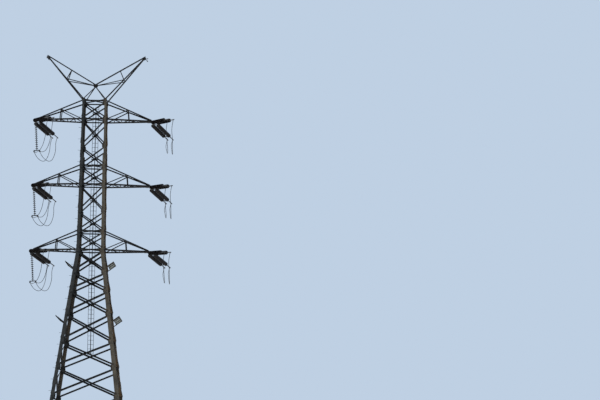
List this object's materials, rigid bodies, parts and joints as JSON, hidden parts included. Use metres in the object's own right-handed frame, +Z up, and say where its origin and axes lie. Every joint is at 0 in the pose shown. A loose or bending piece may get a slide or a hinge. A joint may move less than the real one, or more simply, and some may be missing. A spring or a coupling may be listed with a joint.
{
  "type": "lattice transmission pylon",
  "caption": "Tall four-legged lattice steel tension tower with splayed lower body, level cross-arms on both sides, earth-wire horns, strain insulators and jumper loops.",
  "frame": {"origin": "ground level at the centre of the four feet", "axes": "+Z up the tower; the cross-arms lie along X; the line's conductors leave towards -Y and +Y"},
  "size_m": [10.0122, 8.4262, 35.4868],
  "materials": {
    "leg_steel": "weathered matt",
    "back_leg_steel": "weathered matt, browned",
    "brace_steel": "weathered matt",
    "arm_steel": "weathered matt",
    "ladder_steel": "weathered matt",
    "panel_steel": "weathered matt",
    "concrete": "rough concrete",
    "insulator_glaze": "glazed",
    "fitting_steel": "galvanised, dulled",
    "jumper_wire": "stranded, dulled"
  },
  "bodies": {
    "root": {"leg_front_left": "leg_steel", "leg_front_right": "leg_steel", "leg_back_right": "back_leg_steel", "leg_back_left": "back_leg_steel", "foundation_caps": "concrete", "lower_face_front": "brace_steel", "lower_face_right": "brace_steel", "lower_face_back": "brace_steel", "lower_face_left": "brace_steel", "cage_face_front": "brace_steel", "cage_face_right": "brace_steel", "cage_face_back": "brace_steel", "cage_face_left": "brace_steel", "plan_bracing": "brace_steel", "crossarm_left_low": "arm_steel", "crossarm_left_middle": "arm_steel", "crossarm_left_top": "arm_steel", "crossarm_right_low": "arm_steel", "crossarm_right_middle": "arm_steel", "crossarm_right_top": "arm_steel", "peak_struts": "arm_steel", "horn_left": "arm_steel", "horn_right": "arm_steel", "ladder": "ladder_steel", "insulators_left_low": "insulator_glaze", "insulators_left_middle": "insulator_glaze", "insulators_left_top": "insulator_glaze", "insulators_right_low": "insulator_glaze", "insulators_right_middle": "insulator_glaze", "insulators_right_top": "insulator_glaze", "fittings_left_low": "fitting_steel", "fittings_left_middle": "fitting_steel", "fittings_left_top": "fitting_steel", "fittings_right_low": "fitting_steel", "fittings_right_middle": "fitting_steel", "fittings_right_top": "fitting_steel", "earth_wire_clamps_left": "fitting_steel", "earth_wire_clamps_right": "fitting_steel", "side_frames_left": "brace_steel", "side_boards_left": "panel_steel", "side_frames_right": "brace_steel", "side_boards_right": "panel_steel", "jumper_left_low_outer": "jumper_wire", "jumper_left_low_inner": "jumper_wire", "jumper_left_middle_outer": "jumper_wire", "jumper_left_middle_inner": "jumper_wire", "jumper_left_top_outer": "jumper_wire", "jumper_left_top_inner": "jumper_wire", "jumper_right_low_outer": "jumper_wire", "jumper_right_low_inner": "jumper_wire", "jumper_right_middle_outer": "jumper_wire", "jumper_right_middle_inner": "jumper_wire", "jumper_right_top_outer": "jumper_wire", "jumper_right_top_inner": "jumper_wire"}
  },
  "joints": []
}
